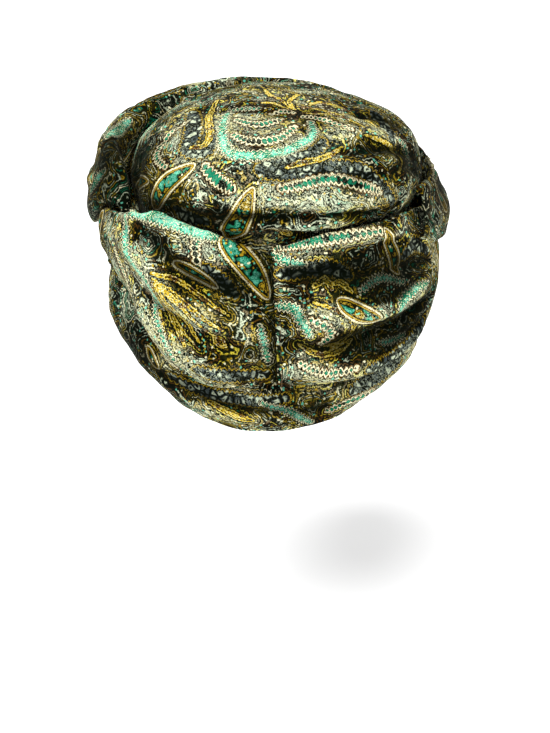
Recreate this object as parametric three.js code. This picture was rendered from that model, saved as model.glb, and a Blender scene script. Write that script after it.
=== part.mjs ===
// A turban headwrap of printed stretch velvet, in the form it keeps on a head.
// +Z is up, the face looks towards -Y and the nape towards +Y. +X is the wearer's left.
// The origin is the middle of the opening that the head goes into.
// Angles go round the head in degrees: 0 at the nape, 90 at the left ear, 180 at the brow and 270 at the
// right ear.
import * as THREE from 'three';

// ---- Driving dimensions, in millimetres ----
const WALL = 2.2;                                       // velvet and its turned-in back, pressed together
const RIM = { side: 84, nape: 93, brow: 95 };           // from the head's middle to the outside of the rim
const RIM_HEIGHT = { side: -3, nape: -37, brow: 34 };   // the rim runs low at the nape and high at the brow
const CROWN_TOP = 172;
const FOLD_POINTS = 12;                                 // straight stretches that stand for a fold's line

// ---- The pieces ----
// Stations are places round the head. Each ring is a line of cloth that passes them, and gives at each
// how far out of the head's middle and how high it lies. The first ring is the lower hem.
// A fold runs from one place by a second to a third, each an angle and a ring. Rise is how far it stands
// out, or lies in where it is below nought, and spread is how far it reaches to each side.
const RIM_BAND = {
  stations: { nape: 0, left: 90, browLeft: 128, brow: 180, browRight: 232, right: 270 },
  wholeRound: true,
  columns: 56,
  rows: 8,
  rings: [
    { nape: [RIM.nape, RIM_HEIGHT.nape], left: [RIM.side, RIM_HEIGHT.side], browLeft: [89, 14],
      brow: [RIM.brow, RIM_HEIGHT.brow], browRight: [89, 14], right: [RIM.side, RIM_HEIGHT.side] },
    { nape: [100, -27], left: [96, 8], browLeft: [99, 23],
      brow: [102, 43], browRight: [98, 23], right: [94, 6] },
    { nape: [104, -17], left: [105, 20], browLeft: [106, 34],
      brow: [107, 54], browRight: [104, 33], right: [101, 15] },
    { nape: [104, -6], left: [110, 34], browLeft: [110, 49],
      brow: [109, 66], browRight: [107, 48], right: [102, 25] },
    { nape: [101, 6], left: [106, 52], browLeft: [110, 68],
      brow: [109, 81], browRight: [108, 66], right: [99, 42] },
    { nape: [98, 20], left: [95, 74], browLeft: [109, 93],
      brow: [107, 99], browRight: [108, 90], right: [96, 64] },
  ],
  folds: [
    { from: [-78, 1.8], by: [-50, 1.9], to: [-20, 1.6], rise: 6, spread: 14 },
    { from: [60, 2.6], by: [0, 1.6], to: [-30, 1.3], rise: -2.5, spread: 6 },
    { from: [110, 2.4], by: [180, 2.8], to: [250, 2.4], rise: 2.5, spread: 8 },
    { from: [100, 1.4], by: [180, 1.5], to: [260, 1.4], rise: -2, spread: 6 },
  ],
};

const CROWN = {
  stations: { nape: 0, left: 90, brow: 180, right: 270 },
  wholeRound: true,
  columns: 48,
  rows: 14,
  top: CROWN_TOP,
  rings: [
    { nape: [100, 66], left: [84, 66], brow: [84, 96], right: [86, 60] },
    { nape: [103, 82], left: [83, 80], brow: [85, 108], right: [91, 74] },
    { nape: [106, 97], left: [84, 94], brow: [83, 120], right: [95, 91] },
    { nape: [117, 103], left: [85, 104], brow: [78, 130], right: [99, 103] },
    { nape: [121, 113], left: [85, 114], brow: [71, 140], right: [102, 112] },
    { nape: [118, 129], left: [83, 129], brow: [63, 150], right: [102, 124] },
    { nape: [104, 145], left: [76, 144], brow: [54, 159], right: [97, 140] },
    { nape: [77, 161], left: [58, 159], brow: [38, 166], right: [80, 154] },
    { nape: [40, 170], left: [30, 169], brow: [20, 171], right: [43, 167] },
  ],
  folds: [
    { from: [14, 4.5], by: [-12, 4.4], to: [-46, 3.6], rise: 4, spread: 8 },
    { from: [18, 3.9], by: [-10, 3.7], to: [-48, 3.1], rise: -4, spread: 5 },
    { from: [46, 3.6], by: [28, 3.8], to: [10, 3.4], rise: -4, spread: 9 },
    { from: [-18, 6.4], by: [-40, 6.4], to: [-70, 5.4], rise: 3, spread: 9 },
    { from: [-26, 5.8], by: [-48, 5.7], to: [-72, 4.7], rise: -3, spread: 8 },
    { from: [80, 3.0], by: [58, 4.0], to: [64, 6.2], rise: -4, spread: 12 },
    { from: [52, 7.3], by: [5, 7.5], to: [-30, 7.0], rise: -2.5, spread: 9 },
  ],
};

const FRONT_SWATHE = {
  stations: {
    leftEnd: 57, leftTurn: 65, left: 92, browLeft: 138,
    brow: 180, browRight: 222, right: 266, rightEnd: 304,
  },
  columns: 44,
  rows: 14,
  rings: [
    { leftEnd: [103, 103], leftTurn: [107, 110], left: [113, 88], browLeft: [114, 76],
      brow: [113, 77], browRight: [114, 74], right: [114, 74], rightEnd: [118, 80] },
    { leftEnd: [104, 101], leftTurn: [110, 108], left: [117, 84], browLeft: [119, 73],
      brow: [118, 74], browRight: [119, 71], right: [119, 67], rightEnd: [122, 77] },
    { leftEnd: [105, 104], leftTurn: [113, 112], left: [121, 94], browLeft: [124, 90],
      brow: [124, 88], browRight: [125, 86], right: [124, 84], rightEnd: [124, 89] },
    { leftEnd: [105, 107], leftTurn: [112, 118], left: [118, 111], browLeft: [121, 110],
      brow: [121, 110], browRight: [122, 107], right: [121, 101], rightEnd: [122, 99] },
    { leftEnd: [104, 110], leftTurn: [108, 127], left: [111, 130], browLeft: [112, 136],
      brow: [109, 136], browRight: [110, 131], right: [116, 113], rightEnd: [121, 108] },
    { leftEnd: [103, 112], leftTurn: [102, 133], left: [101, 145], browLeft: [99, 158],
      brow: [89, 161], browRight: [93, 152], right: [110, 121], rightEnd: [118, 113] },
    { leftEnd: [102, 111], leftTurn: [98, 131], left: [95, 142], browLeft: [86, 160],
      brow: [79, 164], browRight: [84, 152], right: [107, 118], rightEnd: [115, 113] },
    { leftEnd: [101, 106], leftTurn: [96, 122], left: [94, 126], browLeft: [82, 145],
      brow: [76, 148], browRight: [83, 138], right: [107, 106], rightEnd: [115, 108] },
  ],
  folds: [
    { from: [98, 4.1], by: [180, 3.2], to: [292, 3.6], rise: -4, spread: 8 },
    { from: [78, 2.9], by: [150, 2.4], to: [215, 2.9], rise: -3, spread: 7 },
    { from: [150, 4.3], by: [215, 4.1], to: [280, 4.6], rise: -3, spread: 7 },
    { from: [82, 4.7], by: [100, 4.4], to: [118, 4.9], rise: 3, spread: 9 },
  ],
};

const LEFT_PANEL = {
  stations: { seam: -1.3, back: 32, side: 58, tuck: 98 },
  columns: 20,
  rows: 12,
  rings: [
    { seam: [107, 6], back: [106, 12], side: [106, 62], tuck: [102, 70] },
    { seam: [112, 1], back: [111, 6], side: [110, 57], tuck: [106, 65] },
    { seam: [117, 12], back: [117, 20], side: [113, 64], tuck: [108, 70] },
    { seam: [120, 34], back: [120, 44], side: [115, 74], tuck: [110, 76] },
    { seam: [119, 58], back: [121, 72], side: [115, 88], tuck: [110, 86] },
    { seam: [114, 82], back: [118, 104], side: [113, 102], tuck: [108, 95] },
    { seam: [109, 84], back: [113, 107], side: [110, 104], tuck: [106, 97] },
  ],
  folds: [
    { from: [56, 4.3], by: [37, 3.8], to: [7, 2.5], rise: 4, spread: 9 },
    { from: [46, 5.0], by: [26, 4.2], to: [5, 4.0], rise: -4, spread: 7 },
    { from: [52, 5.3], by: [25, 4.9], to: [3, 4.6], rise: 3, spread: 8 },
    { from: [48, 3.2], by: [21, 3.0], to: [2, 2.3], rise: -3.5, spread: 6 },
    { from: [52, 2.6], by: [32, 2.0], to: [6, 1.7], rise: 3, spread: 8 },
  ],
};

const RIGHT_PANEL = {
  stations: { tuck: -98, turn: -84, side: -62, back: -32, seam: -1.7 },
  columns: 20,
  rows: 12,
  rings: [
    { tuck: [104, 36], turn: [105, 29], side: [107, 20], back: [107, 6], seam: [107, 6] },
    { tuck: [106, 31], turn: [110, 24], side: [112, 14], back: [112, 1], seam: [112, 1] },
    { tuck: [107, 40], turn: [113, 34], side: [116, 26], back: [117, 12], seam: [117, 12] },
    { tuck: [107, 50], turn: [116, 48], side: [118, 46], back: [121, 34], seam: [120, 34] },
    { tuck: [105, 64], turn: [115, 65], side: [118, 66], back: [121, 60], seam: [119, 58] },
    { tuck: [102, 78], turn: [110, 84], side: [112, 94], back: [118, 94], seam: [115, 88] },
    { tuck: [100, 80], turn: [105, 86], side: [107, 96], back: [113, 97], seam: [110, 90] },
  ],
  folds: [
    { from: [-4, 5.0], by: [-22, 4.9], to: [-48, 4.7], rise: 3.5, spread: 7 },
    { from: [-4, 4.5], by: [-24, 4.3], to: [-64, 3.8], rise: -5, spread: 7 },
    { from: [-10, 3.4], by: [-30, 3.3], to: [-66, 3.0], rise: 4.5, spread: 8 },
    { from: [-16, 2.6], by: [-38, 2.7], to: [-68, 2.3], rise: -6, spread: 7 },
    { from: [-3, 1.9], by: [-28, 1.6], to: [-64, 1.6], rise: 4, spread: 8 },
  ],
};

// ---- A smooth curve through the values at the knots, read at x ----
function smooth(knots, values, x) {
  const last = knots.length - 1;
  let cell = 0;
  while (cell < last - 1 && knots[cell + 1] <= x) cell += 1;
  const slope = (i) => {
    const before = Math.max(i - 1, 0);
    const after = Math.min(i + 1, last);
    return (values[after] - values[before]) / (knots[after] - knots[before]);
  };
  const span = knots[cell + 1] - knots[cell];
  const t = (x - knots[cell]) / span;
  const start = values[cell] + t * t * (3 - 2 * t) * (values[cell + 1] - values[cell]);
  return start + span * t * (1 - t) * ((1 - t) * slope(cell) - t * slope(cell + 1));
}

// The stations in order, with one more turn's neighbours on a piece that goes right round.
function stationsOf(piece) {
  const list = Object.entries(piece.stations);
  if (!piece.wholeRound) return list;
  const [first, second] = list;
  const end = list[list.length - 1];
  const turned = ([name, angle], turns) => [name, angle + 360 * turns];
  return [turned(end, -1), ...list, turned(first, 1), turned(second, 1)];
}

// The cloth's place at an angle and a ring, before it is folded.
function laidOut(piece, angle, ring) {
  const stations = stationsOf(piece);
  const angles = stations.map(([, at]) => at);
  const count = piece.rings.map((_, i) => i);
  const read = (which) => smooth(
    angles,
    stations.map(([name]) => smooth(count, piece.rings.map((row) => row[name][which]), ring)),
    angle,
  );
  const turn = THREE.MathUtils.degToRad(angle);
  const out = read(0);
  return new THREE.Vector3(out * Math.sin(turn), out * Math.cos(turn), read(1));
}

// ---- Folding ----
function foldLine(piece, { from, by, to }) {
  const path = new THREE.QuadraticBezierCurve(
    new THREE.Vector2(...from),
    new THREE.Vector2(...by),
    new THREE.Vector2(...to),
  );
  return path.getPoints(FOLD_POINTS).map((at) => laidOut(piece, at.x, at.y));
}

// How far a place lies from a line, and how far along the line its nearest point is, from 0 to 1.
function nearestOn(line, place) {
  const found = { away: Infinity, along: 0 };
  const nearest = new THREE.Vector3();
  for (let i = 0; i < line.length - 1; i += 1) {
    const stretch = new THREE.Line3(line[i], line[i + 1]);
    const share = stretch.closestPointToPointParameter(place, true);
    const away = stretch.at(share, nearest).distanceTo(place);
    if (away < found.away) {
      found.away = away;
      found.along = (i + share) / (line.length - 1);
    }
  }
  return found;
}

function foldHeight(folds, place) {
  return folds.reduce((sum, { line, rise, spread }) => {
    const { away, along } = nearestOn(line, place);
    const fade = Math.sin(Math.PI * along) ** 0.5;
    return sum + rise * fade * Math.exp(-((away / spread) ** 2));
  }, 0);
}

// ---- From rings to a closed wall of cloth ----
function clothGrid(piece) {
  const [start, end] = piece.wholeRound
    ? [0, 360]
    : [Math.min(...Object.values(piece.stations)), Math.max(...Object.values(piece.stations))];
  const width = piece.wholeRound ? piece.columns : piece.columns + 1;
  const lastRing = piece.rings.length - 1;
  return Array.from({ length: piece.rows + 1 }, (_, row) => Array.from({ length: width }, (__, column) => {
    const angle = start + ((end - start) * column) / piece.columns;
    return laidOut(piece, angle, (lastRing * row) / piece.rows);
  }));
}

function outwardAt(piece, grid, row, column) {
  const width = grid[0].length;
  const wrap = (i) => (piece.wholeRound ? (i + width) % width : Math.max(0, Math.min(width - 1, i)));
  const along = grid[row][wrap(column + 1)].clone().sub(grid[row][wrap(column - 1)]);
  const topmost = piece.top === undefined ? grid[row][column] : new THREE.Vector3(0, 0, piece.top);
  const above = row < grid.length - 1 ? grid[row + 1][column] : topmost;
  const below = grid[Math.max(row - 1, 0)][column];
  return above.clone().sub(below).cross(along).normalize();
}

function eachPlace(grid, change) {
  return grid.map((ring, row) => ring.map((place, column) => change(place, row, column)));
}

function clothGeometry(piece) {
  const folds = piece.folds.map((fold) => ({ ...fold, line: foldLine(piece, fold) }));
  const flat = clothGrid(piece);
  const outer = eachPlace(flat, (place, row, column) => place
    .clone()
    .addScaledVector(outwardAt(piece, flat, row, column), foldHeight(folds, place)));
  const inner = eachPlace(outer, (place, row, column) => place
    .clone()
    .addScaledVector(outwardAt(piece, outer, row, column), -WALL));

  const width = outer[0].length;
  const rows = outer.length;
  const places = [...outer.flat(), ...inner.flat()];
  const out = (row, column) => row * width + (column % width);
  const within = (row, column) => rows * width + out(row, column);
  const index = [];
  const quad = (a, b, c, d) => index.push(a, b, c, a, c, d);
  const strips = piece.wholeRound ? width : width - 1;
  for (let column = 0; column < strips; column += 1) {
    const next = column + 1;
    for (let row = 0; row < rows - 1; row += 1) {
      quad(out(row, column), out(row + 1, column), out(row + 1, next), out(row, next));
      quad(within(row, column), within(row, next), within(row + 1, next), within(row + 1, column));
    }
    quad(out(0, column), out(0, next), within(0, next), within(0, column));
    const edge = rows - 1;
    if (piece.top === undefined) {
      quad(out(edge, column), within(edge, column), within(edge, next), out(edge, next));
    } else {
      index.push(out(edge, column), places.length, out(edge, next));
      index.push(within(edge, column), within(edge, next), places.length + 1);
    }
  }
  if (piece.top !== undefined) {
    places.push(new THREE.Vector3(0, 0, piece.top), new THREE.Vector3(0, 0, piece.top - WALL));
  }
  if (!piece.wholeRound) {
    const end = width - 1;
    for (let row = 0; row < rows - 1; row += 1) {
      quad(out(row, 0), within(row, 0), within(row + 1, 0), out(row + 1, 0));
      quad(out(row, end), out(row + 1, end), within(row + 1, end), within(row, end));
    }
  }
  const geometry = new THREE.BufferGeometry().setFromPoints(places);
  geometry.setIndex(index);
  geometry.computeVertexNormals();
  return geometry;
}

// ---- The turban ----
const PIECES = {
  rim_band: [RIM_BAND, '#2b3329'],
  crown: [CROWN, '#5d5a3c'],
  front_swathe: [FRONT_SWATHE, '#3c4a38'],
  left_panel: [LEFT_PANEL, '#4d5a42'],
  right_panel: [RIGHT_PANEL, '#46493a'],
};

const turban = new THREE.Group();
for (const [name, [piece, colour]] of Object.entries(PIECES)) {
  const velvet = new THREE.MeshStandardMaterial({ color: colour, roughness: 0.9, metalness: 0 });
  const mesh = new THREE.Mesh(clothGeometry(piece), velvet);
  mesh.name = name;
  turban.add(mesh);
}

export default turban;
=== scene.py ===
import math

import bpy
import numpy as np
from mathutils import Matrix, Vector


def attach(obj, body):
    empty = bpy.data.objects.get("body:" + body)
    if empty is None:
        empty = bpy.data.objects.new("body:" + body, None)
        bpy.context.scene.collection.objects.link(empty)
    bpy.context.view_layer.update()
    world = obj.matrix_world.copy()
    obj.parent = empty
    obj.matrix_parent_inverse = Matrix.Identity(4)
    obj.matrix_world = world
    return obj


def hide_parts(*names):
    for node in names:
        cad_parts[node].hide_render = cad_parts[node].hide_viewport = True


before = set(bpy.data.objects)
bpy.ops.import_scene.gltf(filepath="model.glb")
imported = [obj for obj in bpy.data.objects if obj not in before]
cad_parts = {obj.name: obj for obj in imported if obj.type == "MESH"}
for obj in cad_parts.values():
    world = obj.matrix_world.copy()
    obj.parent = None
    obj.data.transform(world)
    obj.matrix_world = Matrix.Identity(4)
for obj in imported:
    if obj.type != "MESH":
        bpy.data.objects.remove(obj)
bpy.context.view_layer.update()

# ---- The room ----
# A pale floor that runs back out of sight, in a white room, with one broad soft light high above
# the back of the wrap and a weaker one above its front.
WRAP_MIDDLE = Vector((0.0, 0.0, 0.090))
FLOOR_HEIGHT = -0.26

floor_paint = bpy.data.materials.new("pale_floor")
floor_paint.use_nodes = True
paint = floor_paint.node_tree.nodes["Principled BSDF"]
paint.inputs["Base Color"].default_value = (0.93, 0.93, 0.93, 1)
paint.inputs["Roughness"].default_value = 0.9
floor_mesh = bpy.data.meshes.new("floor")
floor_mesh.from_pydata([(-20, -20, FLOOR_HEIGHT), (20, -20, FLOOR_HEIGHT),
                        (20, 20, FLOOR_HEIGHT), (-20, 20, FLOOR_HEIGHT)], [], [(0, 1, 2, 3)])
floor = bpy.data.objects.new("floor", floor_mesh)
floor.data.materials.append(floor_paint)
bpy.context.scene.collection.objects.link(floor)

room = bpy.data.worlds.new("white_room")
room.use_nodes = True
room.node_tree.nodes["Background"].inputs["Color"].default_value = (1, 1, 1, 1)
room.node_tree.nodes["Background"].inputs["Strength"].default_value = 0.72
bpy.context.scene.world = room


def hang_light(name, towards, strength, softness):
    """A light far off, that falls evenly on the whole room. Softness is how wide it looks, in degrees."""
    lamp = bpy.data.lights.new(name, "SUN")
    lamp.energy = strength
    lamp.angle = math.radians(softness)
    holder = bpy.data.objects.new(name, lamp)
    holder.rotation_euler = Vector(towards).to_track_quat("-Z", "Y").to_euler()
    bpy.context.scene.collection.objects.link(holder)


hang_light("soft_light_above", (-0.25, -0.75, -1.1), 3.9, 30)
hang_light("soft_light_front", (-0.3, 1.0, -0.7), 0.9, 60)

# ---- The camera ----
# It stands behind the wearer, a little above the wrap, and leans slightly to one side. It looks
# below the wrap, which leaves the wrap high in its view.
CAMERA_AWAY = 1.030
CAMERA_RISE = math.radians(13)
CAMERA_LEAN = math.radians(2.5)
LOOK_DOWN = math.radians(6.04)
LOOK_ASIDE = math.radians(0.375)

camera_place = WRAP_MIDDLE + CAMERA_AWAY * Vector((0, math.cos(CAMERA_RISE), math.sin(CAMERA_RISE)))
facing = (WRAP_MIDDLE - camera_place).to_track_quat("-Z", "Y").to_matrix()
turned = facing @ Matrix.Rotation(-CAMERA_LEAN, 3, "Z") @ Matrix.Rotation(-LOOK_DOWN, 3, "X")
turned = turned @ Matrix.Rotation(-LOOK_ASIDE, 3, "Y")
camera = bpy.data.objects.new("camera", bpy.data.cameras.new("camera"))
camera.data.lens = 74.4
camera.data.sensor_width = 36
camera.matrix_world = Matrix.Translation(camera_place) @ turned.to_4x4()
bpy.context.scene.collection.objects.link(camera)
bpy.context.scene.camera = camera
bpy.context.scene.view_settings.view_transform = "Standard"

# ---- Rim band ----
# The wide band that goes right round the head, low on the nape and high at the brow. It is the
# lowest layer: velvet turned in at the rim, with the panels and the swathe laid over its upper part.
# Angles go round the head in degrees: 0 at the nape, 90 at the left ear, 180 at the brow.

# Every piece is cut from one stretch velvet with a short dense pile, printed all over with botehs,
# ribbons of pebbles and fine scalloped lines on a ground that is nearly black. Over each fold a painted
# silvery highlight stands in for the pile's sheen, and painted shade darkens each crease. Each piece
# carries the print as how far every place is from the nearest leaf and stroke of each ink.
INKS = {
    "ground": (0.0015, 0.0025, 0.0010),
    "moss": (0.022, 0.024, 0.004),
    "brown": (0.120, 0.052, 0.006),
    "gold": (0.44, 0.29, 0.015),
    "yellow": (0.72, 0.60, 0.05),
    "teal": (0.006, 0.19, 0.095),
    "aqua": (0.12, 0.50, 0.34),
    "cream": (0.84, 0.80, 0.50),
    "slate": (0.040, 0.054, 0.056),
    "silver": (0.54, 0.61, 0.42),
}
LINE_INKS = [(0.28, "brown"), (0.46, "cream"), (0.62, "teal"), (0.74, "silver"), (0.90, "yellow")]
LINE_SPACING = 2.2              # these four in millimetres
LOBE_LENGTH = 3.1               # of a scallop, a pebble row's edge or a petal
VEIN_SPACING = 1.5
COMB_SPACING = 2.7


class Wires:
    """Lays nodes in a material and joins them."""

    def __init__(self, tree):
        self.tree = tree

    def feed(self, socket, value):
        if isinstance(value, bpy.types.NodeSocket):
            self.tree.links.new(value, socket)
        else:
            socket.default_value = value

    def node(self, kind, settings=None, **inputs):
        made = self.tree.nodes.new(kind)
        for key, value in (settings or {}).items():
            setattr(made, key, value)
        for key, value in inputs.items():
            self.feed(made.inputs[key.replace("_", " ")], value)
        return made

    def number(self, kind, *values):
        made = self.node("ShaderNodeMath", {"operation": kind})
        for socket, value in zip(made.inputs, values):
            self.feed(socket, value)
        return made.outputs[0]

    def vector(self, kind, *values, scale=None):
        made = self.node("ShaderNodeVectorMath", {"operation": kind})
        for socket, value in zip(made.inputs, values):
            self.feed(socket, value)
        if scale is not None:
            self.feed(made.inputs["Scale"], scale)
        return made.outputs[0]

    def both(self, first, second):
        return self.number("MULTIPLY", first, second)

    def step(self, value, start, end):
        """0 where the value is at start, 1 where it is at end, smoothly between."""
        made = self.node("ShaderNodeMapRange", {"interpolation_type": "SMOOTHSTEP"}, Value=value,
                         From_Min=start, From_Max=end)
        return made.outputs["Result"]

    def field(self, name):
        return self.node("ShaderNodeAttribute", {"attribute_name": name}).outputs["Fac"]

    def noise(self, at, size, detail=2.0, rough=0.5):
        return self.node("ShaderNodeTexNoise", None, Vector=at, Scale=1 / size, Detail=detail,
                         Roughness=rough)

    def cells(self, at, size, feature="F1"):
        return self.node("ShaderNodeTexVoronoi", {"feature": feature}, Vector=at, Scale=1 / size)

    def paint(self, under, share, over):
        """One ink or mixture over another, by a share from 0 to 1."""
        made = self.node("ShaderNodeMix", {"data_type": "RGBA"})
        sockets = [socket for socket in made.inputs if socket.enabled]
        for socket, value in zip(sockets, (share, under, over)):
            self.feed(socket, (*INKS[value], 1) if isinstance(value, str) else value)
        return next(socket for socket in made.outputs if socket.enabled)


def printed_velvet(name, seed):
    """A length of the velvet. The seed slides its fine print: no two pieces are cut from one place."""
    cloth = bpy.data.materials.new(name)
    cloth.use_nodes = True
    w = Wires(cloth.node_tree)
    shader = cloth.node_tree.nodes["Principled BSDF"]

    # Places in millimetres. Fine things are drawn on places that are stirred, so that no line is plain.
    place = w.vector("SCALE", w.node("ShaderNodeTexCoord").outputs["Object"], scale=1000.0)
    place = w.vector("ADD", place, (seed * 37.0, seed * 11.0, seed * 23.0))
    stirred = w.vector("MULTIPLY_ADD", w.noise(place, 4.5).outputs["Color"], (4.0, 4.0, 4.0), place)
    wobble = w.number("MULTIPLY_ADD", w.noise(place, 2.4, 3.0, 0.6).outputs["Fac"], 4.4, -2.2)
    speck = w.noise(place, 0.8, 1.0).outputs["Fac"]
    patch = w.noise(place, 21.0, 2.0).outputs["Fac"]
    grain = w.noise(stirred, 6.5, 1.0).outputs["Fac"]

    run = w.field("run")
    # Painted light: how high the fold stands, with painted light patches and a random patchiness, sets a
    # painted sheen. It gives a painted highlight where strong and painted shade where weak.
    crest_shading = w.field("crest_shading")
    sheen_patchiness = w.noise(place, 24.0, 2.0).outputs["Fac"]
    painted_sheen = w.step(w.number("MULTIPLY_ADD", sheen_patchiness, 3.4, w.number("SUBTRACT", crest_shading, 1.7)), -0.40, 1.15)
    leaf = w.number("MULTIPLY_ADD", wobble, 0.20, w.field("leaf"))
    teal, gold, cream, pebble = (w.number("MULTIPLY_ADD", wobble, 0.75, w.field(ink))
                                 for ink in ("teal", "gold", "cream", "pebble"))

    # The ground: scalloped lines that follow the motifs, and drift off in curves where none is near.
    # They are broad and pale, with a painted silvery highlight, where the painted sheen is bright, and
    # thin on black where it is dim.
    away = w.field("motif")
    drift = w.noise(place, 20.0, 1.0).outputs["Fac"]
    near = w.step(away, 12.0, 2.0)
    lobes = w.number("ABSOLUTE", w.number("SINE", w.number("MULTIPLY", run, math.pi / LOBE_LENGTH)))
    turns = w.number("MULTIPLY_ADD", wobble, 0.26, w.number("MULTIPLY", away, 1 / LINE_SPACING))
    turns = w.number("MULTIPLY_ADD", w.both(lobes, near), -0.55, turns)
    sway = w.number("MULTIPLY_ADD", near, -14.0, 20.0)
    turns = w.number("MULTIPLY_ADD", w.number("SUBTRACT", drift, 0.5), sway, turns)
    line_number = w.number("FLOOR", turns)
    across = w.number("ABSOLUTE", w.number("SUBTRACT", w.number("SUBTRACT", turns, line_number), 0.5))
    stretch = w.number("FLOOR", w.number("MULTIPLY", patch, 9.0))
    line_part = w.node("ShaderNodeCombineXYZ", None, X=line_number, Y=stretch).outputs[0]
    pick = w.node("ShaderNodeTexWhiteNoise", {"noise_dimensions": "2D"}, Vector=line_part).outputs["Value"]
    line_ink = "gold"
    for share, ink in LINE_INKS:
        line_ink = w.paint(line_ink, w.step(pick, share, share + 0.01), ink)
    # Painted highlight: the lines turn silvery and broaden where the painted sheen is bright.
    line_ink = w.paint(line_ink, w.both(painted_sheen, 0.55), "silver")
    half = w.number("MULTIPLY_ADD", painted_sheen, 0.22, 0.13)
    line = w.step(across, w.number("ADD", half, 0.08), w.number("SUBTRACT", half, 0.08))
    colour = w.paint("ground", w.step(patch, 0.46, 0.62), "moss")
    colour = w.paint(colour, w.both(line, w.step(speck, 0.36, 0.46)), line_ink)
    dots = w.cells(stirred, 2.3)
    dot_pick = w.node("ShaderNodeSeparateColor", None, Color=dots.outputs["Color"])
    dot = w.step(dots.outputs["Distance"], 0.42, 0.28)
    dot_ink = w.paint("gold", w.step(dot_pick.outputs["Green"], 0.35, 0.36), "cream")
    dot_ink = w.paint(dot_ink, w.step(dot_pick.outputs["Green"], 0.68, 0.69), "aqua")
    colour = w.paint(colour, w.both(w.step(dots.outputs["Distance"], 0.66, 0.44),
                                    w.step(dot_pick.outputs["Blue"], 0.66, 0.68)), "ground")
    colour = w.paint(colour, w.both(dot, w.step(dot_pick.outputs["Red"], 0.74, 0.76)), dot_ink)

    # Ribbons of pebbles: slate stones with pale middles in a black net.
    net = w.cells(stirred, 5.0, "DISTANCE_TO_EDGE").outputs["Distance"]
    stone = w.paint("ground", w.step(net, 0.09, 0.15), "slate")
    stone = w.paint(stone, w.both(w.step(net, 0.14, 0.26), w.step(grain, 0.40, 0.60)), "silver")
    stone = w.paint(stone, w.step(net, 0.34, 0.42), "ground")
    pebbled = w.number("MULTIPLY_ADD", lobes, -1.6, pebble)
    colour = w.paint(colour, w.step(pebbled, 2.2, 1.8), "ground")
    colour = w.paint(colour, w.both(w.step(pebbled, 1.5, 1.1), w.step(speck, 0.42, 0.52)), "gold")
    colour = w.paint(colour, w.step(pebbled, 0.5, 0.1), stone)

    # Gold strokes with dark veins.
    veins = w.number("SINE", w.number("MULTIPLY", gold, 2 * math.pi / VEIN_SPACING))
    gold_ink = w.paint("gold", w.step(speck, 0.48, 0.60), "yellow")
    gold_ink = w.paint(gold_ink, w.step(grain, 0.56, 0.62), "brown")
    gold_ink = w.paint(gold_ink, w.step(veins, 0.1, 0.6), "ground")
    gold_ink = w.paint(gold_ink, w.both(w.step(veins, -0.5, -0.9), w.step(speck, 0.52, 0.62)), "cream")
    colour = w.paint(colour, w.step(gold, 1.3, 0.9), "ground")
    colour = w.paint(colour, w.step(gold, 0.4, 0.0), gold_ink)

    # Rows of cream petals with teal throats.
    petals = w.number("MULTIPLY_ADD", lobes, -1.9, cream)
    colour = w.paint(colour, w.step(petals, 1.6, 1.2), "ground")
    colour = w.paint(colour, w.step(petals, 0.7, 0.3), "brown")
    colour = w.paint(colour, w.both(w.step(petals, 0.1, -0.3), w.step(speck, 0.38, 0.48)), "cream")
    colour = w.paint(colour, w.step(petals, -1.2, -1.5), "ground")
    colour = w.paint(colour, w.both(w.step(petals, -1.7, -2.1), w.step(grain, 0.42, 0.50)), "teal")

    # Teal strokes, mottled with aqua, with combed cream edges and a broken dark line along them.
    comb = w.number("SINE", w.number("MULTIPLY", run, 2 * math.pi / COMB_SPACING))
    combed = w.number("MULTIPLY_ADD", comb, 0.75, teal)
    colour = w.paint(colour, w.step(combed, 2.2, 1.8), "ground")
    colour = w.paint(colour, w.both(w.step(combed, 1.4, 1.0), w.step(speck, 0.40, 0.50)), "cream")
    colour = w.paint(colour, w.step(combed, 0.5, 0.1), "ground")
    colour = w.paint(colour, w.step(combed, 0.0, -0.4), "teal")
    colour = w.paint(colour, w.both(w.step(combed, -0.2, -0.8), w.step(grain, 0.44, 0.52)), "aqua")
    colour = w.paint(colour, w.both(w.step(combed, -0.4, -1.0), w.step(speck, 0.54, 0.62)), "cream")
    colour = w.paint(colour, w.both(w.step(wobble, 0.45, 0.75), w.step(combed, 0.0, -0.4)), "ground")

    # A leaf: cream outline, brown line, dark ring, then a dark core with teal and pale dots.
    core = w.paint("ground", w.step(grain, 0.50, 0.54), "teal")
    core = w.paint(core, w.both(w.step(grain, 0.56, 0.60), w.step(speck, 0.44, 0.52)), "aqua")
    core = w.paint(core, w.both(w.step(grain, 0.45, 0.41), w.step(speck, 0.42, 0.52)), "gold")
    core = w.paint(core, w.both(dot, w.step(dot_pick.outputs["Red"], 0.50, 0.52)), dot_ink)
    inside = w.paint(core, w.step(leaf, -3.3, -2.9), "ground")
    inside = w.paint(inside, w.both(w.step(leaf, -2.5, -2.2), w.step(speck, 0.34, 0.44)), "gold")
    inside = w.paint(inside, w.step(leaf, -1.7, -1.4), "brown")
    inside = w.paint(inside, w.both(w.step(leaf, -1.2, -0.9), w.step(speck, 0.34, 0.46)), "cream")
    colour = w.paint(colour, w.step(leaf, 1.6, 1.2), "ground")
    colour = w.paint(colour, w.both(w.step(leaf, 1.0, 0.6), w.step(speck, 0.50, 0.60)), "gold")
    colour = w.paint(colour, w.step(leaf, 0.2, -0.1), inside)

    # Painted light: a painted silvery highlight dusted over a fold, and painted shade, nearly black, down
    # in a crease and where the painted sheen is dim.
    colour = w.paint(colour, w.both(painted_sheen, w.both(w.step(speck, 0.50, 0.66), 0.55)), "silver")
    colour = w.paint(colour, w.both(w.step(crest_shading, -0.05, -0.8), 0.85), "ground")
    colour = w.paint(colour, w.both(w.step(painted_sheen, 0.35, 0.0), 0.45), "ground")

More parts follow.
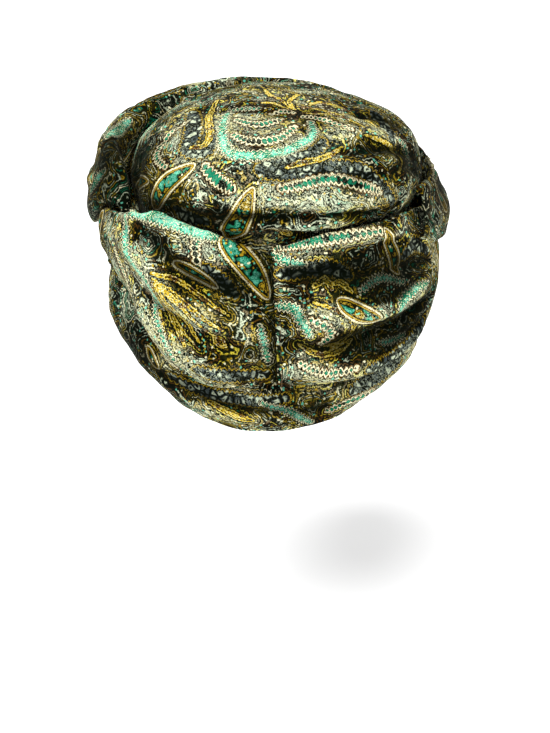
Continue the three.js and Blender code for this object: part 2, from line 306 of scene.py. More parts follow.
    w.feed(shader.inputs["Base Color"], colour)
    shader.inputs["Roughness"].default_value = 0.85
    shader.inputs["Specular IOR Level"].default_value = 0.01
    shader.inputs["Sheen Weight"].default_value = 0.02
    shader.inputs["Sheen Roughness"].default_value = 0.35
    shader.inputs["Sheen Tint"].default_value = (0.80, 0.84, 0.72, 1)
    nap = w.node("ShaderNodeBump", None, Strength=0.6, Distance=0.0007,
                 Height=w.noise(place, 1.2).outputs["Fac"])
    w.feed(shader.inputs["Normal"], nap.outputs["Normal"])
    return cloth


# The cloth of every piece is a closed wall. Its sizes are in millimetres, and its angles in degrees.
WALL = 1.7
CREASE_WIDTH = 2.4              # of a short crease where cloth is gathered
LEAF_DEPTH = 45.0               # a leaf is printed only on the cloth this near to its own plane
NO_MOTIF_NEAR = 60.0            # stands for any greater distance from a motif
CREST_HEIGHT = 3.2              # how high a fold stands where its crest shading is 1: a raised fold is painted lighter, a sunken one painted darker
UNEVENNESS = [(34, 7, 0.55), (13, 57, 0.22)]            # size, seed, height


def along_curve(knots, values, at):
    """Values on a smooth curve through the knots. values has a row for each knot."""
    knots, values, at = (np.asarray(x, float) for x in (knots, values, at))
    last = len(knots) - 1
    cell = np.clip(np.searchsorted(knots, at, side="right") - 1, 0, last - 1)
    before, after = np.maximum(np.arange(last + 1) - 1, 0), np.minimum(np.arange(last + 1) + 1, last)
    column = (-1,) + (1,) * (values.ndim - 1)
    slopes = (values[after] - values[before]) / (knots[after] - knots[before]).reshape(column)
    span = (knots[cell + 1] - knots[cell]).reshape(column)
    t = (at - knots[cell]).reshape(column) / span
    start = values[cell] + t * t * (3 - 2 * t) * (values[cell + 1] - values[cell])
    return start + span * t * (1 - t) * ((1 - t) * slopes[cell] - t * slopes[cell + 1])


def lay(piece, angles, rings):
    """The cloth's places at each ring and angle, before it is folded."""
    stations, table = list(piece["stations"]), np.array(piece["rings"], float)
    if piece["whole_round"]:
        stations = [stations[-1] - 360, *stations, stations[0] + 360, stations[1] + 360]
        table = np.concatenate([table[:, -1:], table, table[:, :2]], axis=1)
    up = along_curve(range(len(table)), table, rings)
    spot = along_curve(stations, up.swapaxes(0, 1), angles)
    out, height, turn = spot[..., 0].T, spot[..., 1].T, np.radians(angles)
    return np.stack([out * np.sin(turn), out * np.cos(turn), height], -1)


def line_on(piece, points, pieces_of_line=24):
    """A smooth line over the cloth through points that are each an angle and a ring."""
    points = np.array(points, float)
    steps = np.linspace(0, len(points) - 1, pieces_of_line + 1)
    path = along_curve(range(len(points)), points, steps) if len(points) > 2 else (
        points[0] + steps[:, None] * (points[1] - points[0]))
    return np.array([lay(piece, [angle], [ring])[0, 0] for angle, ring in path])


def outward(grid, whole_round, top=None):
    """The way out of the cloth at each place of a grid."""
    if whole_round:
        along = np.roll(grid, -1, 1) - np.roll(grid, 1, 1)
    else:
        along = np.gradient(grid, axis=1)
    above = np.concatenate([grid[1:], grid[-1:] if top is None else np.full_like(grid[-1:], top)])
    below = np.concatenate([grid[:1], grid[:-1]])
    way = np.cross(above - below, along)
    return way / np.maximum(np.linalg.norm(way, axis=-1, keepdims=True), 1e-9)


def nearest(line, places, ways):
    """How far each place lies from a line, how far along it, from 0 to 1, and on which side, 1 or -1."""
    best = np.full(len(places), np.inf)
    share, side = np.zeros(len(places)), np.ones(len(places))
    for i in range(len(line) - 1):
        stretch = line[i + 1] - line[i]
        t = np.clip((places - line[i]) @ stretch / (stretch @ stretch), 0, 1)
        off = places - line[i] - t[:, None] * stretch
        away = np.linalg.norm(off, axis=1)
        closer = away < best
        best[closer], share[closer] = away[closer], ((i + t) / (len(line) - 1))[closer]
        side[closer] = np.sign((off * np.cross(ways, stretch)).sum(1))[closer]
    return best, share, side


def fold_height(piece, places, ways):
    """How far the folds lift or sink each place. A fold laid over to one side is steep there."""
    lift = np.zeros(len(places))
    for points, rise, spread, over in piece["folds"]:
        away, share, side = nearest(line_on(piece, points), places, ways)
        width = spread * np.where(side < 0, 1 - max(over, 0), 1 + min(over, 0))
        roundness = 2.0 if rise > 0 else 1.3
        lift += rise * np.sin(math.pi * share) ** 0.5 * np.exp(-(away / width) ** roundness)
    return lift


def gathers(start, end, count, reach, depth, seed):
    """Short creases that run off from a line, as they do where cloth is gathered on a seam."""
    random = np.random.default_rng(seed)
    start, end, reach = (np.array(x, float) for x in (start, end, reach))
    creases = []
    for share in np.linspace(0, 1, count):
        root = start + (share + random.uniform(-0.4, 0.4) / count) * (end - start)
        run_out = root + reach * (random.uniform(0.6, 1.3), random.uniform(-0.5, 1.5))
        creases.append(([root, run_out], -depth * random.uniform(0.6, 1.2), CREASE_WIDTH, 0))
    return creases


def ripples(places, size, seed):
    """Soft unevenness of a size, about -1 to 1."""
    random = np.random.default_rng(seed)
    total = np.zeros(len(places))
    for _ in range(14):
        way = random.normal(size=3)
        way *= random.uniform(0.6, 1.5) / np.linalg.norm(way)
        total += np.sin(places @ way * 2 * math.pi / size + random.uniform(0, 2 * math.pi))
    return total / 4


def leaf_distance(piece, leaf, places):
    """How far each place is outside a leaf's edge, or inside it where below nought."""
    base, tip, width, bend = leaf
    a, b = (lay(piece, [p[0]], [p[1]])[0, 0] for p in (base, tip))
    middle = (a + b) / 2
    out = np.array([middle[0], middle[1], 0.35 * middle[2] - 20])
    length = np.linalg.norm(b - a)
    long_way = (b - a) / length
    across = np.cross(out / np.linalg.norm(out), long_way)
    across /= np.linalg.norm(across)
    x, y = (places - a) @ long_way / length, (places - a) @ across
    deep = (places - a) @ np.cross(long_way, across)
    xc = np.clip(x, 0, 1)
    y = y - bend * 4 * xc * (1 - xc)
    half = width * 2 * np.sqrt(np.clip(xc * (1 - xc), 0, 1)) * (1.15 - 0.3 * xc)
    beyond = np.abs(x - xc) * length
    edge = np.where(beyond > 0, np.hypot(beyond, y), np.abs(y) - half)
    return np.where(np.abs(deep) > LEAF_DEPTH, NO_MOTIF_NEAR, edge)


def set_print(mesh, piece, places, ways, lift):
    """Writes onto the cloth how far each place is from the leaves and from the strokes of each ink, and
    how much painted highlight or painted shade its folds and painted light patches give it.
    """
    fields = {"leaf": np.full(len(places), NO_MOTIF_NEAR), "run": np.zeros(len(places))}
    for leaf in piece["leaves"]:
        fields["leaf"] = np.minimum(fields["leaf"], leaf_distance(piece, leaf, places))
    nearest_stroke = np.full(len(places), NO_MOTIF_NEAR)
    for ink in ("teal", "gold", "cream", "pebble"):
        fields[ink] = np.full(len(places), NO_MOTIF_NEAR)
    for ink, width, points in piece["strokes"]:
        line = line_on(piece, points)
        away, share, _ = nearest(line, places, ways)
        length = np.linalg.norm(np.diff(line, axis=0), axis=1).sum()
        taper = width / 2 * (0.35 + 0.65 * np.sin(math.pi * np.clip(share, 0.02, 0.98)) ** 0.6)
        edge = away - taper
        fields[ink] = np.minimum(fields[ink], edge)
        closer = edge < nearest_stroke
        nearest_stroke[closer] = edge[closer]
        fields["run"][closer] = (share * length)[closer]
    fields["motif"] = np.minimum(fields["leaf"], nearest_stroke)
    # Painted light: fold height and the painted light patches give each place its painted highlight, or
    # painted shade below nought.
    fields["crest_shading"] = np.clip(lift / CREST_HEIGHT, -1.2, 1.2)
    for spot, size, amount in piece["painted_light_patches"]:
        away = np.linalg.norm(places - lay(piece, [spot[0]], [spot[1]])[0, 0], axis=1)
        fields["crest_shading"] += amount * np.exp(-(away / size) ** 2)
    for name, values in fields.items():
        layer = mesh.attributes.new(name, "FLOAT", "POINT")
        whole = np.zeros(len(mesh.vertices), np.float32)
        whole[:len(values)] = values
        whole[len(values):2 * len(values)] = values[:max(0, len(whole) - len(values))]
        layer.data.foreach_set("value", whole)


def sew(name, piece, columns, rows, velvet):
    """Makes a piece of cloth as a closed wall, folded and printed, and hangs it on the wrap."""
    whole = piece["whole_round"]
    first, last = (0, 360) if whole else (piece["stations"][0], piece["stations"][-1])
    angles = np.linspace(first, last, columns, endpoint=not whole)
    rings = np.linspace(0, len(piece["rings"]) - 1, rows)
    top = None if "top" not in piece else np.array([0, 0, piece["top"]], float)
    flat = lay(piece, angles, rings)
    ways = outward(flat, whole, top)
    places, out = flat.reshape(-1, 3), ways.reshape(-1, 3)
    lift = fold_height(piece, places, out)
    uneven = sum(ripples(places, size, seed) * height for size, seed, height in UNEVENNESS)
    outer = (places + out * (lift + uneven)[:, None]).reshape(flat.shape)
    inner = outer - WALL * outward(outer, whole, top)

    points = np.concatenate([outer.reshape(-1, 3), inner.reshape(-1, 3)])
    number = np.arange(rows * columns).reshape(rows, columns)
    back = number + rows * columns
    right, back_right = (np.roll(n, -1, 1) for n in (number, back))
    if not whole:
        number_left, back_left = number[:, :-1], back[:, :-1]
        right, back_right = number[:, 1:], back[:, 1:]
    else:
        number_left, back_left = number, back
    corners = [(number_left[:-1], number_left[1:], right[1:], right[:-1]),
               (back_left[:-1], back_right[:-1], back_right[1:], back_left[1:]),
               (number_left[0], right[0], back_right[0], back_left[0])]
    if top is None:
        corners.append((number_left[-1], back_left[-1], back_right[-1], right[-1]))
    faces = np.concatenate([np.stack(four, -1).reshape(-1, 4) for four in corners]).tolist()
    if not whole:
        for row in range(rows - 1):
            faces.append([number[row, 0], back[row, 0], back[row + 1, 0], number[row + 1, 0]])
            faces.append([number[row, -1], number[row + 1, -1], back[row + 1, -1], back[row, -1]])
    if top is not None:
        peak = len(points)
        points = np.concatenate([points, [top + [0, 0, lift[-1]], top + [0, 0, lift[-1] - WALL]]])
        for column in range(columns):
            beside = (column + 1) % columns
            faces.append([number[-1, column], peak, number[-1, beside]])
            faces.append([back[-1, column], back[-1, beside], peak + 1])
    mesh = bpy.data.meshes.new(name)
    mesh.from_pydata((points * 0.001).tolist(), [], [[int(v) for v in face] for face in faces])
    mesh.update()
    mesh.shade_smooth()
    mesh.materials.append(velvet)
    set_print(mesh, piece, places, out, lift)
    made = bpy.data.objects.new(name, mesh)
    bpy.context.scene.collection.objects.link(made)
    return made


rim_band = {
    "whole_round": True,
    # station  nape, left ear, brow's left, brow, brow's right, right ear
    "stations": (0, 90, 128, 180, 232, 270),
    "rings": [
        [(93, -37), (84, -3), (89, 14), (95, 34), (89, 14), (84, -3)],
        [(100, -27), (96, 8), (99, 23), (102, 43), (98, 23), (94, 6)],
        [(104, -17), (105, 20), (106, 34), (107, 54), (104, 33), (101, 15)],
        [(104, -6), (110, 34), (110, 49), (109, 66), (107, 48), (102, 25)],
        [(101, 6), (106, 52), (110, 68), (109, 81), (108, 66), (99, 42)],
        [(98, 20), (95, 74), (109, 93), (107, 99), (108, 90), (96, 64)],
    ],
    # line through (angle, ring), rise, spread, share laid over to its lower side
    "folds": [
        ([(-78, 1.8), (-50, 1.9), (-20, 1.6)], 6, 14, 0.3),
        ([(60, 2.6), (0, 1.6), (-30, 1.3)], -2.5, 6, 0),
        ([(110, 2.4), (180, 2.8), (250, 2.4)], 2.5, 8, 0),
        ([(100, 1.4), (180, 1.5), (260, 1.4)], -2, 6, 0),
        ([(50, 1.6), (15, 0.9), (-12, 1.5)], 1.3, 5, 0.4),
    ],
    # middle, size, how much painted highlight lightens the cloth there, or painted shade darkens it where
    # below nought
    "painted_light_patches": [((-35, 2.2), 30, -0.5), ((60, 3.0), 30, -0.6)],
    # base, tip, half width, bend
    "leaves": [
        ((44, 2.5), (49, 3.4), 4.5, 1), ((70, 1.6), (82, 3.2), 6, 3), ((-58, 1.0), (-66, 2.4), 6, -3),
        ((148, 0.9), (172, 2.6), 5, 4), ((226, 3.6), (214, 2.0), 5, -3),
    ],
    "strokes": [
        ("pebble", 7, [(40, 2.4), (26, 2.4), (17, 2.4), (5, 2.4), (-4, 2.6)]),
        ("pebble", 7, [(-28, 2.0), (-38, 2.3), (-50, 2.4)]),
        ("teal", 4, [(4, 2.3), (-5, 1.6), (-10, 0.9), (-15, 0.2)]),
        ("gold", 5, [(-9, 3.2), (-14, 3.4), (-19, 3.2)]),
        ("cream", 4, [(-20, 0.8), (-28, 1.3), (-38, 1.5)]),
        ("gold", 5, [(24, 1.8), (16, 1.3), (8, 1.0)]),
        ("teal", 4, [(60, 1.2), (80, 1.6), (100, 2.2)]),
        ("gold", 4, [(110, 1.0), (130, 2.2), (150, 1.4)]),
        ("pebble", 7, [(120, 3.0), (150, 3.6), (180, 3.4), (215, 3.6)]),
        ("cream", 4, [(180, 2.6), (192, 2.0), (196, 1.2), (188, 0.8)]),
        ("teal", 4, [(160, 3.0), (172, 3.4), (186, 3.0)]),
        ("gold", 4, [(200, 2.8), (206, 1.8), (214, 1.2)]),
        ("teal", 4, [(215, 1.2), (235, 2.0), (255, 1.4)]),
    ],
}
velvet = printed_velvet("rim_band_velvet", 1)
band = sew("turban_rim_band", rim_band, 360, 60, velvet)
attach(band, "root")
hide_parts("rim_band")

# ---- Left panel ----
# The cloth that wraps the back on the wearer's left, from the centre-back seam to the ear. Its upper
# edge is turned in and crosses under the crown, and its folds run down towards the seam.
PANEL_COLUMNS, PANEL_ROWS = 220, 150                    # places across and up a panel's mesh

left_panel = {
    "whole_round": False,
    # station       seam, back, side, tuck
    "stations": (-3.4, 32, 58, 98),
    "rings": [
        [(107, 6), (106, 12), (106, 62), (102, 70)],
        [(112, 1), (111, 6), (110, 57), (106, 65)],
        [(117, 12), (117, 20), (113, 64), (108, 70)],
        [(120, 34), (120, 44), (115, 74), (110, 76)],
        [(119, 58), (121, 72), (115, 88), (110, 86)],
        [(114, 82), (118, 104), (113, 102), (108, 95)],
        [(109, 84), (113, 107), (110, 104), (106, 97)],
    ],
    "folds": [
        ([(56, 4.3), (37, 3.8), (7, 2.5)], 4, 9, 0.3),
        ([(46, 5.0), (26, 4.2), (5, 4.0)], -4, 7, 0),
        ([(52, 5.3), (25, 4.9), (3, 4.6)], 3, 8, 0.2),
        ([(48, 3.2), (21, 3.0), (2, 2.3)], -3.5, 6, 0),
        ([(52, 2.6), (32, 2.0), (6, 1.7)], 3, 8, 0.2),
        ([(40, 4.5), (22, 4.0), (10, 3.9)], 1.4, 4, 0.5),
        ([(30, 2.9), (18, 2.2), (4, 1.4)], -1.6, 4, 0),
        ([(-3.4, -1.0), (-3.4, 3.0), (-3.4, 7.0)], -4.6, 6.0, 0),
        *gathers((-1.5, 1.6), (-1.5, 5.0), 8, (10, 0.1), 1.1, 21),
        *gathers((60, 5.2), (14, 5.0), 7, (-5, -0.9), 1.2, 22),
    ],
    "painted_light_patches": [((30, 3.2), 30, 0.55), ((90, 3.0), 25, -0.8), ((8, 4.6), 14, -0.5)],
    "leaves": [
        ((14, 5.5), (0, 4.0), 7.5, 3), ((30, 4.3), (15, 4.05), 4, 2), ((80, 2.0), (70, 5.0), 6, 3),
    ],
    "strokes": [
        ("teal", 7, [(47, 5.45), (37, 5.45), (28, 5.3), (20, 5.2), (14, 5.4)]),
        ("teal", 5, [(50, 5.2), (48, 4.4), (44, 3.9), (38, 3.7), (35, 3.2)]),
        ("cream", 4, [(21, 4.3), (21, 4.8), (17, 5.2)]),
        ("pebble", 8, [(19, 4.4), (14, 4.2), (10, 4.0)]),
        ("gold", 3, [(36, 4.0), (26, 4.0), (12, 3.5)]),
        ("gold", 4, [(35, 3.8), (32, 3.2), (27, 2.5)]),
        ("gold", 3, [(34, 3.8), (28, 3.3), (22, 2.7)]),
        ("gold", 3, [(35, 3.9), (27, 3.7), (14, 3.1)]),
        ("gold", 2, [(34, 3.85), (26, 3.5), (17, 2.9)]),
        ("gold", 2, [(37, 3.6), (35, 2.8), (32, 2.2)]),
        ("gold", 2, [(35, 3.7), (30, 3.0), (22, 2.5)]),
        ("teal", 2, [(37, 3.6), (37, 2.8), (31, 2.0)]),
        ("gold", 7, [(17, 2.9), (14, 2.7)]),
        ("teal", 3, [(3, 3.3), (2, 2.8), (1, 2.3)]),
        ("cream", 2, [(57, 3.6), (52, 2.6), (44, 1.8), (32, 1.5)]),
        ("pebble", 6, [(24, 1.9), (12, 1.8), (2, 1.8)]),
    ],
}
velvet = printed_velvet("left_panel_velvet", 2)
left = sew("turban_left_panel", left_panel, PANEL_COLUMNS, PANEL_ROWS, velvet)
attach(left, "root")
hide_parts("left_panel")

# ---- Right panel ----
# The same on the wearer's right. It is gathered at the seam, so its folds run level round the head,
# with a deep tuck under its upper edge and a low roll over the rim band.
right_panel = {
    "whole_round": False,
    # station       tuck, turn, side, back, seam
    "stations": (-98, -84, -62, -32, -1.52),
    "rings": [
        [(104, 36), (105, 29), (107, 20), (107, 6), (107, 6)],
        [(106, 31), (110, 24), (112, 14), (112, 1), (112, 1)],
        [(107, 40), (113, 34), (116, 26), (117, 12), (117, 12)],
        [(107, 50), (116, 48), (118, 46), (121, 34), (120, 34)],
        [(105, 64), (115, 65), (118, 66), (121, 60), (119, 58)],
        [(102, 78), (110, 84), (112, 94), (118, 94), (115, 88)],
        [(100, 80), (105, 86), (107, 96), (113, 97), (110, 90)],
    ],
    "folds": [
        ([(-4, 5.0), (-22, 4.9), (-48, 4.7)], 3.5, 6, 0.6),
        ([(-4, 4.5), (-24, 4.35), (-64, 3.9)], -5, 4.5, 0),
        ([(-10, 3.4), (-30, 3.3), (-66, 3.0)], 4.5, 7, 0.4),
        ([(-16, 2.6), (-38, 2.75), (-68, 2.4)], -6, 4.5, 0),
        ([(-3, 1.9), (-28, 1.6), (-64, 1.6)], 4, 7, 0.3),
        ([(-5, 3.9), (-16, 3.7), (-27, 3.9)], 1.8, 3.5, 0.5),
        ([(-3, 3.0), (-14, 2.7), (-30, 2.9)], -2.2, 3, 0),
        ([(-30, 3.8), (-42, 3.5), (-60, 3.6)], -2.2, 3, 0),
        ([(-34, 2.1), (-46, 2.1), (-62, 1.9)], -2, 3, 0),
        ([(-1.5, 0.4), (-1.5, 3.2), (-1.5, 5.9)], -0.9, 1.6, 0),
        *gathers((-2.6, 1.4), (-2.6, 5.4), 11, (-16, 0.05), 1.3, 31),
        *gathers((-66, 4.8), (-62, 1.8), 8, (12, 0.1), 1.2, 32),
    ],
    "painted_light_patches": [((-35, 4.2), 34, -0.6), ((-12, 3.5), 16, 0.35), ((-40, 2.0), 34, -0.8),
                ((-15, 5.2), 16, 0.3)],
    "leaves": [
        ((-44, 4.0), (-38, 5.0), 5, 0), ((-20, 3.9), (-34, 3.2), 6, -2), ((-80, 2.5), (-72, 5.0), 6, 3),
    ],
    "strokes": [
        ("cream", 4, [(-2, 5.2), (-10, 5.2), (-20, 5.1), (-36, 4.95)]),
        ("teal", 4, [(-2, 4.9), (-6, 4.7), (-11, 4.6)]),
        ("pebble", 8, [(-3, 4.5), (-16, 4.5), (-25, 4.3)]),
        ("gold", 4, [(-13, 4.2), (-17, 4.3), (-19, 4.1)]),
        ("gold", 4, [(-19, 4.2), (-22, 4.2), (-25, 4.0)]),
        ("teal", 5, [(-2, 3.9), (-7, 3.8), (-9, 3.5), (-12, 3.0)]),
        ("teal", 4, [(-59, 3.2), (-50, 3.4), (-42, 3.3), (-43, 2.9)]),
        ("gold", 4, [(-8, 2.8), (-14, 2.5), (-20, 2.5), (-26, 2.7)]),
        ("cream", 2, [(-8, 2.3), (-16, 1.9), (-26, 1.9)]),
        ("teal", 3, [(-36, 2.4), (-42, 2.2), (-48, 2.1)]),
        ("pebble", 6, [(-30, 1.7), (-42, 1.6), (-60, 1.8)]),
        ("pebble", 7, [(-46, 4.3), (-54, 4.4), (-62, 4.1)]),
        ("gold", 3, [(-13, 3.9), (-21, 3.6), (-25, 3.1), (-22, 2.7), (-14, 2.7)]),
        ("cream", 3, [(-11, 3.5), (-16, 3.3), (-18, 3.0), (-15, 2.8)]),
        ("teal", 3, [(-28, 4.0), (-36, 4.1), (-45, 3.8)]),
    ],
}
velvet = printed_velvet("right_panel_velvet", 3)
right = sew("turban_right_panel", right_panel, PANEL_COLUMNS, PANEL_ROWS, velvet)
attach(right, "root")
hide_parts("right_panel")

# The stitches of the centre-back seam. They go through the right panel's edge, which laps over the
# left panel's, in dull olive thread.
STITCH_LENGTH = 0.0024
THREAD_THICKNESS = 0.0005
ROWS_TO_A_STITCH = 5
COLUMNS_FROM_EDGE = 3

thread = bpy.data.materials.new("olive_thread")
thread.use_nodes = True
w = Wires(thread.node_tree)
twist = w.node("ShaderNodeTexWave", {"bands_direction": "DIAGONAL"}, Scale=2600.0,
               Vector=w.node("ShaderNodeTexCoord").outputs["Object"])
thread_shader = thread.node_tree.nodes["Principled BSDF"]
w.feed(thread_shader.inputs["Base Color"], w.paint("moss", twist.outputs["Fac"], "brown"))
thread_shader.inputs["Roughness"].default_value = 0.7

tree = bpy.data.node_groups.new("seam_stitches", "GeometryNodeTree")
sizes = {}
tree.interface.new_socket(name="Places", in_out="INPUT", socket_type="NodeSocketGeometry")
for size in ("Stitch Length", "Thread Thickness"):
    socket = tree.interface.new_socket(name=size, in_out="INPUT", socket_type="NodeSocketFloat")
    sizes[size] = socket.identifier
tree.interface.new_socket(name="Stitches", in_out="OUTPUT", socket_type="NodeSocketGeometry")
w = Wires(tree)
given = w.node("NodeGroupInput").outputs
stitch = w.node("GeometryNodeMeshCylinder", None, Vertices=6, Depth=given["Stitch Length"],
                Radius=w.number("MULTIPLY", given["Thread Thickness"], 0.5))
way = w.node("GeometryNodeInputNamedAttribute", {"data_type": "FLOAT_VECTOR"}, Name="way")
turn = w.node("FunctionNodeAlignRotationToVector", {"axis": "Z"}, Vector=way.outputs[0])
placed = w.node("GeometryNodeInstanceOnPoints", None, Points=given["Places"],
                Instance=stitch.outputs["Mesh"], Rotation=turn.outputs[0])
real = w.node("GeometryNodeRealizeInstances", None, Geometry=placed.outputs[0])
threaded = w.node("GeometryNodeSetMaterial", None, Geometry=real.outputs[0], Material=thread)
w.feed(w.node("NodeGroupOutput").inputs[0], threaded.outputs[0])

seam_column = PANEL_COLUMNS - 1 - COLUMNS_FROM_EDGE
edge = [right.data.vertices[row * PANEL_COLUMNS + seam_column].co.copy() for row in range(PANEL_ROWS)]
chosen = range(2 * ROWS_TO_A_STITCH, PANEL_ROWS - 2 * ROWS_TO_A_STITCH, ROWS_TO_A_STITCH)
marks = bpy.data.meshes.new("stitch_places")
marks.from_pydata([edge[row] for row in chosen], [], [])
ways = marks.attributes.new("way", "FLOAT_VECTOR", "POINT")
along_seam = [edge[row + 1] - edge[row - 1] for row in chosen]
ways.data.foreach_set("vector", [value for way in along_seam for value in way])
maker = bpy.data.objects.new("stitch_maker", marks)
bpy.context.scene.collection.objects.link(maker)
sewing = maker.modifiers.new("stitches", "NODES")
sewing.node_group = tree
sewing[sizes["Stitch Length"]] = STITCH_LENGTH
sewing[sizes["Thread Thickness"]] = THREAD_THICKNESS
evaluated = maker.evaluated_get(bpy.context.evaluated_depsgraph_get())
seam = bpy.data.objects.new("turban_seam_stitches", bpy.data.meshes.new_from_object(evaluated))
bpy.data.objects.remove(maker)
bpy.context.scene.collection.objects.link(seam)
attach(seam, "root")

# ---- Crown ----
# One round of velvet gathered over the top of the head. Its puff is drawn back over the panels'
# upper edges, where it turns under, and its folds run across the back and up to the right.
crown = {
    "whole_round": True,
    "top": 172,
    "stations": (0, 90, 180, 270),
    "rings": [
        [(100, 66), (84, 66), (84, 96), (86, 60)],
        [(103, 82), (83, 80), (85, 108), (91, 74)],
        [(106, 97), (84, 94), (83, 120), (95, 91)],
        [(117, 103), (85, 104), (78, 130), (99, 103)],
        [(121, 113), (85, 114), (71, 140), (102, 112)],
        [(118, 129), (83, 129), (63, 150), (102, 124)],
        [(104, 145), (76, 144), (54, 159), (97, 140)],
        [(77, 161), (58, 159), (38, 166), (80, 154)],
        [(40, 170), (30, 169), (20, 171), (43, 167)],
    ],
    "folds": [
        ([(14, 4.5), (-12, 4.4), (-46, 3.6)], 4, 7, 0.3),
        ([(18, 3.9), (-10, 3.7), (-48, 3.1)], -4, 4, 0),
        ([(46, 3.6), (28, 3.8), (10, 3.4)], -4, 8, 0),
        ([(-18, 6.4), (-40, 6.4), (-70, 5.4)], 3, 8, 0.4),
        ([(-26, 5.9), (-48, 5.8), (-72, 4.8)], -3.4, 4.5, 0),
        ([(-36, 5.0), (-54, 5.0), (-70, 4.2)], -2.6, 3.5, 0),
        ([(-46, 7.2), (-60, 6.8), (-76, 6.0)], -2.4, 4, 0),
        ([(24, 5.0), (12, 4.8), (2, 5.1)], -1.8, 3.5, 0),
        ([(80, 3.0), (58, 4.0), (64, 6.2)], -4, 12, 0),
        ([(52, 7.3), (5, 7.5), (-30, 7.0)], -2.5, 9, 0),
        ([(6, 5.2), (-16, 5.4), (-36, 4.9)], -1.8, 5, 0),
        ([(-2, 3.1), (-16, 2.9), (-30, 2.7)], 2.2, 4, 0.3),
        *gathers((70, 3.4), (-70, 2.9), 26, (-4, 1.0), 1.1, 41),
        *gathers((-74, 4.4), (-64, 7.0), 8, (16, 0.1), 1.5, 42),
        *gathers((66, 4.2), (50, 7.2), 7, (-12, 0.2), 1.2, 43),
    ],
    "painted_light_patches": [((10, 7.0), 42, 0.8), ((-14, 4.5), 20, 1.0), ((58, 4.5), 30, -0.7),
                ((-60, 6.0), 30, -0.3)],
    "leaves": [
        ((43, 3.7), (23, 5.7), 7, 2), ((14, 1.8), (3, 5.0), 7.5, -3), ((62, 4.2), (44, 4.9), 5, 2),
        ((100, 4.0), (120, 6.0), 9, 4), ((-95, 5.0), (-110, 6.6), 9, -4), ((170, 6.2), (215, 7.0), 9, 4),
    ],
    "strokes": [
        ("teal", 6, [(20, 7.4), (17, 6.7), (13, 6.2), (7, 6.0), (-6, 6.1), (-13, 6.3), (-19, 6.5),
                     (-22, 6.9)]),
        ("cream", 4, [(12, 6.6), (4, 6.4), (-6, 6.5), (-14, 6.8)]),
        ("cream", 4, [(13, 7.1), (2, 6.9), (-10, 7.1)]),
        ("teal", 2, [(20, 7.5), (11, 7.6), (1, 7.6)]),
        ("gold", 5, [(40, 7.8), (30, 7.2), (23, 6.7), (22, 6.3), (28, 6.2)]),
        ("pebble", 9, [(48, 7.3), (37, 7.0), (31, 6.6), (29, 6.2), (21, 6.1), (20, 6.5)]),
        ("pebble", 8, [(-22, 6.3), (-16, 6.0), (-6, 5.8), (0, 5.6), (-8, 5.45), (-20, 5.5), (-31, 5.3),
                       (-38, 4.5), (-43, 3.5)]),
        ("gold", 4, [(-28, 6.1), (-20, 5.85), (-12, 5.75), (-7, 5.6)]),
        ("cream", 5, [(-4, 4.9), (-12, 5.05), (-20, 5.15), (-30, 4.75), (-36, 4.4)]),
        ("gold", 3, [(-23, 7.6), (-33, 7.4), (-40, 7.0), (-43, 6.5)]),
        ("gold", 3, [(-35, 7.7), (-47, 7.5), (-51, 7.0), (-51, 6.4)]),
        ("cream", 2, [(-20, 7.2), (-29, 7.0), (-35, 6.5)]),
        ("gold", 7, [(-2, 2.7), (-8, 1.9)]),
        ("gold", 3, [(-20, 7.45), (-22, 7.8), (-38, 8.0)]),
        ("gold", 2, [(-18, 7.45), (-8, 7.75), (10, 7.8)]),
        ("gold", 2, [(-19, 7.5), (-14, 7.9), (-2, 8.1)]),
        ("gold", 2, [(-22, 7.4), (-34, 7.6), (-46, 7.7)]),
        ("gold", 2, [(-21, 7.3), (-28, 7.25), (-38, 7.1)]),
        ("cream", 2, [(-19, 7.35), (-13, 7.45), (-4, 7.35)]),
        ("cream", 3, [(40, 6.9), (46, 6.4), (44, 5.8), (36, 5.5)]),
        ("gold", 3, [(-40, 6.3), (-50, 5.9), (-52, 5.2), (-46, 4.8)]),
        ("teal", 3, [(-56, 6.0), (-60, 5.4), (-58, 4.6)]),
        ("pebble", 9, [(31, 4.0), (25, 3.5), (19, 3.3)]),
        ("pebble", 9, [(-64, 7.0), (-58, 6.5), (-52, 6.0)]),
        ("cream", 6, [(20, 5.7), (14, 5.2), (9, 4.9)]),
        ("teal", 4, [(70, 5.0), (78, 6.2), (96, 6.8)]),
        ("gold", 5, [(110, 5.0), (130, 6.6), (160, 6.8)]),
        ("cream", 4, [(150, 6.0), (190, 6.4), (230, 6.0)]),
        ("pebble", 9, [(-80, 6.4), (-92, 5.6), (-100, 4.6)]),
        ("teal", 5, [(-75, 5.6), (-86, 4.8), (-96, 4.2)]),
    ],
}
velvet = printed_velvet("crown_velvet", 4)
puff = sew("turban_crown", crown, 330, 145, velvet)
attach(puff, "root")
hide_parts("crown")

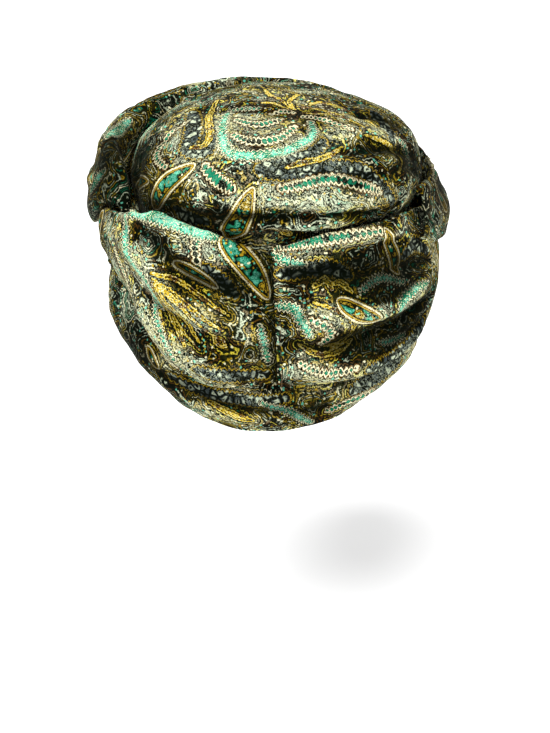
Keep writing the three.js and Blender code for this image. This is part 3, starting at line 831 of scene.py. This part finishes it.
# ---- Front swathe ----
# A length of velvet rolled round the front, over the band and the crown's lower edge, from the
# left ear to the right. Both its ends turn in under the panels and the crown.
front_swathe = {
    "whole_round": False,
    # station   left end, left turn, left ear, brow's left, brow, brow's right, right ear, right end
    "stations": (57, 65, 92, 138, 180, 222, 266, 304),
    "rings": [
        [(103, 103), (107, 110), (113, 88), (114, 76), (113, 77), (114, 74), (114, 74), (118, 80)],
        [(104, 101), (110, 108), (117, 84), (119, 73), (118, 74), (119, 71), (119, 67), (122, 77)],
        [(105, 104), (113, 112), (121, 94), (124, 90), (124, 88), (125, 86), (124, 84), (124, 89)],
        [(105, 107), (112, 118), (118, 111), (121, 110), (121, 110), (122, 107), (121, 101), (122, 99)],
        [(104, 110), (108, 127), (111, 130), (112, 136), (109, 136), (110, 131), (116, 113), (121, 108)],
        [(103, 112), (102, 133), (101, 145), (99, 158), (89, 161), (93, 152), (110, 121), (118, 113)],
        [(102, 111), (98, 131), (95, 142), (86, 160), (79, 164), (84, 152), (107, 118), (115, 113)],
        [(101, 106), (96, 122), (94, 126), (82, 145), (76, 148), (83, 138), (107, 106), (115, 108)],
    ],
    "folds": [
        ([(98, 4.1), (180, 3.2), (292, 3.6)], -4, 8, 0),
        ([(78, 2.9), (150, 2.4), (215, 2.9)], -3, 7, 0),
        ([(150, 4.3), (215, 4.1), (280, 4.6)], -3, 7, 0),
        ([(82, 4.7), (100, 4.4), (118, 4.9)], 3, 9, 0.3),
        ([(70, 3.6), (84, 3.2), (104, 3.5)], 2, 6, 0.4),
    ],
    "painted_light_patches": [((75, 4.0), 40, -0.8), ((290, 3.5), 30, -0.5)],
    "leaves": [
        ((75, 3.0), (84, 4.4), 5, 2), ((110, 2.4), (128, 4.2), 8, 4), ((148, 4.8), (166, 3.6), 7, 4),
        ((186, 4.9), (204, 4.6), 6, -4), ((206, 3.4), (222, 2.6), 6, 3), ((240, 4.4), (252, 2.4), 7, -4),
        ((285, 2.2), (292, 4.2), 5, 2),
    ],
    "strokes": [
        ("teal", 6, [(106, 6.0), (94, 5.8), (84, 5.0)]),
        ("teal", 5, [(69, 3.8), (72, 3.2), (76, 2.6)]),
        ("gold", 4, [(90, 4.6), (84, 3.6), (82, 2.8)]),
        ("cream", 4, [(96, 5.2), (90, 4.2), (94, 3.2), (104, 2.4)]),
        ("pebble", 8, [(112, 4.8), (130, 5.0), (150, 5.2)]),
        ("gold", 5, [(130, 2.0), (142, 3.4), (158, 3.8)]),
        ("teal", 6, [(140, 2.4), (152, 3.0), (166, 2.8), (172, 2.0), (186, 1.9)]),
        ("cream", 4, [(170, 4.4), (178, 3.6), (192, 3.5), (200, 3.9)]),
        ("gold", 4, [(178, 2.8), (190, 2.7), (200, 2.2)]),
        ("pebble", 8, [(196, 2.0), (214, 2.4), (232, 3.0), (240, 3.8)]),
        ("gold", 5, [(218, 3.4), (230, 4.2), (246, 4.8)]),
        ("teal", 5, [(256, 2.2), (268, 3.0), (276, 4.0)]),
        ("cream", 4, [(262, 4.6), (276, 4.7), (290, 4.4)]),
    ],
}
velvet = printed_velvet("front_swathe_velvet", 5)
swathe = sew("turban_front_swathe", front_swathe, 330, 130, velvet)
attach(swathe, "root")
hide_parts("front_swathe")
